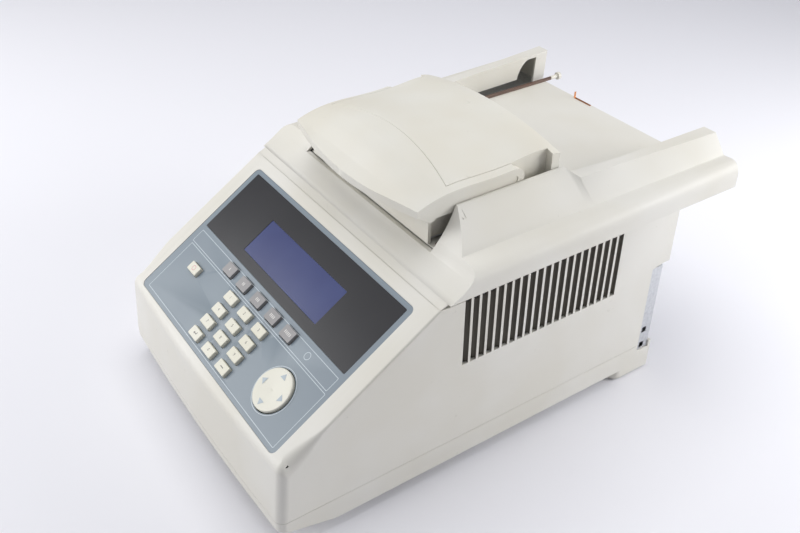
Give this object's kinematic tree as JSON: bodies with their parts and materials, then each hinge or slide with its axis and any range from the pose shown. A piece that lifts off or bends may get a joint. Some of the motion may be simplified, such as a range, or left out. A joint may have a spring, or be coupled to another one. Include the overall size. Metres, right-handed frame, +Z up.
{
  "type": "thermal cycler",
  "caption": "Benchtop thermal cycler with a sloping keypad and display, a slide-off sample module and a sliding heated cover with a lift-up lever.",
  "frame": {"origin": "centre of the bounding box at the level of the feet's undersides, which rest on the bench", "axes": "+Z up, +Y to the rear along the length, +X to the user's right"},
  "size_m": [0.3262, 0.5196, 0.2715],
  "materials": {
    "housing_plastic": "fine moulded texture",
    "cover_plastic": "fine moulded texture, slightly yellowed",
    "overlay_film": "satin printed film",
    "window_acrylic": "smooth",
    "lcd_glass": "smooth",
    "circuit_board": "solder mask",
    "silicone": "matt",
    "foot_rubber": "matt",
    "zinc_steel": "zinc plated",
    "black_plastic": "fine moulded texture",
    "brown_laminate": "cut laminate",
    "block_metal": "milled",
    "tile_ceramic": "ceramic",
    "copper_ribbon": "amber film over copper",
    "key_cream": "satin",
    "key_grey": "satin"
  },
  "bodies": {
    "base": {"upper_housing": "housing_plastic", "control_overlay": "overlay_film", "display_window": "window_acrylic", "lcd_glass": "lcd_glass", "display_board": "circuit_board", "keypad_board": "circuit_board", "keypad_standoffs": "zinc_steel", "keypad_mat": "silicone", "base_pan": "housing_plastic", "rubber_feet": "foot_rubber", "chassis": "zinc_steel", "rear_panel": "zinc_steel", "base_fan_frame": "black_plastic", "power_supply": "zinc_steel", "main_board": "circuit_board", "power_inlet": "black_plastic", "fuse_holder": "black_plastic", "serial_port": "zinc_steel", "switch_frame": "black_plastic"},
    "module": {"module_housing": "housing_plastic", "module_tray": "zinc_steel", "rear_deck": "housing_plastic", "slide_rails": "brown_laminate", "rail_screws": "zinc_steel", "sample_block": "block_metal", "thermoelectric_tiles": "tile_ceramic", "heat_sink": "block_metal", "flex_ribbon": "copper_ribbon", "module_fan_frame": "black_plastic"},
    "cover": {"cover_shell": "cover_plastic", "cover_carriage": "zinc_steel"},
    "lever": {"lever": "cover_plastic"},
    "platen": {"heated_platen": "block_metal"},
    "module_fan": {"module_fan_rotor": "black_plastic"},
    "base_fan": {"base_fan_rotor": "black_plastic"},
    "rocker": {"power_rocker": "black_plastic"},
    "arrow_ball": {"arrow_ball": "black_plastic"},
    "arrow_pad": {"arrow_pad": "key_cream"},
    "key_1": {"key_1": "key_cream"},
    "key_2": {"key_2": "key_cream"},
    "key_3": {"key_3": "key_cream"},
    "key_4": {"key_4": "key_cream"},
    "key_5": {"key_5": "key_cream"},
    "key_6": {"key_6": "key_cream"},
    "key_7": {"key_7": "key_cream"},
    "key_8": {"key_8": "key_cream"},
    "key_9": {"key_9": "key_cream"},
    "key_enter": {"key_enter": "key_cream"},
    "key_0": {"key_0": "key_cream"},
    "key_clear": {"key_clear": "key_cream"},
    "key_stop": {"key_stop": "key_cream"},
    "soft_key_1": {"soft_key_1": "key_grey"},
    "soft_key_2": {"soft_key_2": "key_grey"},
    "soft_key_3": {"soft_key_3": "key_grey"},
    "soft_key_4": {"soft_key_4": "key_grey"},
    "soft_key_5": {"soft_key_5": "key_grey"}
  },
  "joints": [
    {"name": "module_slide", "type": "slide", "parent": "base", "child": "module", "axis": [0, 1, 0], "range_m": [0, 0.008]},
    {"name": "cover_slide", "type": "slide", "parent": "module", "child": "cover", "axis": [0, 1, 0], "range_m": [0, 0.15]},
    {"name": "lever_lift", "type": "hinge", "parent": "cover", "child": "lever", "pos_m": [0, 0.02225, 0.245], "axis": [-1, 0, 0], "range_deg": [0, 40]},
    {"name": "platen_lift", "type": "slide", "parent": "cover", "child": "platen", "axis": [0, 0, 1], "range_m": [0, 0.005]},
    {"name": "module_fan_spin", "type": "hinge", "parent": "module", "child": "module_fan", "pos_m": [0, 0.08425, 0.16], "axis": [0, 1, 0], "continuous": true},
    {"name": "base_fan_spin", "type": "hinge", "parent": "base", "child": "base_fan", "pos_m": [0.062, 0.15625, 0.072], "axis": [0, 1, 0], "continuous": true},
    {"name": "power_switch", "type": "hinge", "parent": "base", "child": "rocker", "pos_m": [-0.064, 0.16685, 0.064], "axis": [0, 0, 1], "range_deg": [0, 14]},
    {"name": "arrow_tilt_up_down", "type": "hinge", "parent": "base", "child": "arrow_ball", "pos_m": [0.0906, -0.21465, 0.10988], "axis": [1, 0, 0], "range_deg": [-2.5, 2.5], "stiffness_Nm_per_rad": 0.6},
    {"name": "arrow_tilt_left_right", "type": "hinge", "parent": "arrow_ball", "child": "arrow_pad", "pos_m": [0.0906, -0.21637, 0.11257], "axis": [0, 0.8434, 0.5373], "range_deg": [-2.5, 2.5], "stiffness_Nm_per_rad": 0.6},
    {"name": "key_1_press", "type": "slide", "parent": "base", "child": "key_1", "axis": [0, 0.5373, -0.8434], "range_m": [0, 0.0012], "stiffness_N_per_m": 400, "springref_m": -0.002},
    {"name": "key_2_press", "type": "slide", "parent": "base", "child": "key_2", "axis": [0, 0.5373, -0.8434], "range_m": [0, 0.0012], "stiffness_N_per_m": 400, "springref_m": -0.002},
    {"name": "key_3_press", "type": "slide", "parent": "base", "child": "key_3", "axis": [0, 0.5373, -0.8434], "range_m": [0, 0.0012], "stiffness_N_per_m": 400, "springref_m": -0.002},
    {"name": "key_4_press", "type": "slide", "parent": "base", "child": "key_4", "axis": [0, 0.5373, -0.8434], "range_m": [0, 0.0012], "stiffness_N_per_m": 400, "springref_m": -0.002},
    {"name": "key_5_press", "type": "slide", "parent": "base", "child": "key_5", "axis": [0, 0.5373, -0.8434], "range_m": [0, 0.0012], "stiffness_N_per_m": 400, "springref_m": -0.002},
    {"name": "key_6_press", "type": "slide", "parent": "base", "child": "key_6", "axis": [0, 0.5373, -0.8434], "range_m": [0, 0.0012], "stiffness_N_per_m": 400, "springref_m": -0.002},
    {"name": "key_7_press", "type": "slide", "parent": "base", "child": "key_7", "axis": [0, 0.5373, -0.8434], "range_m": [0, 0.0012], "stiffness_N_per_m": 400, "springref_m": -0.002},
    {"name": "key_8_press", "type": "slide", "parent": "base", "child": "key_8", "axis": [0, 0.5373, -0.8434], "range_m": [0, 0.0012], "stiffness_N_per_m": 400, "springref_m": -0.002},
    {"name": "key_9_press", "type": "slide", "parent": "base", "child": "key_9", "axis": [0, 0.5373, -0.8434], "range_m": [0, 0.0012], "stiffness_N_per_m": 400, "springref_m": -0.002},
    {"name": "key_enter_press", "type": "slide", "parent": "base", "child": "key_enter", "axis": [0, 0.5373, -0.8434], "range_m": [0, 0.0012], "stiffness_N_per_m": 400, "springref_m": -0.002},
    {"name": "key_0_press", "type": "slide", "parent": "base", "child": "key_0", "axis": [0, 0.5373, -0.8434], "range_m": [0, 0.0012], "stiffness_N_per_m": 400, "springref_m": -0.002},
    {"name": "key_clear_press", "type": "slide", "parent": "base", "child": "key_clear", "axis": [0, 0.5373, -0.8434], "range_m": [0, 0.0012], "stiffness_N_per_m": 400, "springref_m": -0.002},
    {"name": "key_stop_press", "type": "slide", "parent": "base", "child": "key_stop", "axis": [0, 0.5373, -0.8434], "range_m": [0, 0.0012], "stiffness_N_per_m": 400, "springref_m": -0.002},
    {"name": "soft_key_1_press", "type": "slide", "parent": "base", "child": "soft_key_1", "axis": [0, 0.5373, -0.8434], "range_m": [0, 0.0012], "stiffness_N_per_m": 400, "springref_m": -0.002},
    {"name": "soft_key_2_press", "type": "slide", "parent": "base", "child": "soft_key_2", "axis": [0, 0.5373, -0.8434], "range_m": [0, 0.0012], "stiffness_N_per_m": 400, "springref_m": -0.002},
    {"name": "soft_key_3_press", "type": "slide", "parent": "base", "child": "soft_key_3", "axis": [0, 0.5373, -0.8434], "range_m": [0, 0.0012], "stiffness_N_per_m": 400, "springref_m": -0.002},
    {"name": "soft_key_4_press", "type": "slide", "parent": "base", "child": "soft_key_4", "axis": [0, 0.5373, -0.8434], "range_m": [0, 0.0012], "stiffness_N_per_m": 400, "springref_m": -0.002},
    {"name": "soft_key_5_press", "type": "slide", "parent": "base", "child": "soft_key_5", "axis": [0, 0.5373, -0.8434], "range_m": [0, 0.0012], "stiffness_N_per_m": 400, "springref_m": -0.002}
  ],
  "couplings": [
    {"joint": "platen_lift", "follows": "lever_lift", "m_per_rad": 0.0071619}
  ]
}
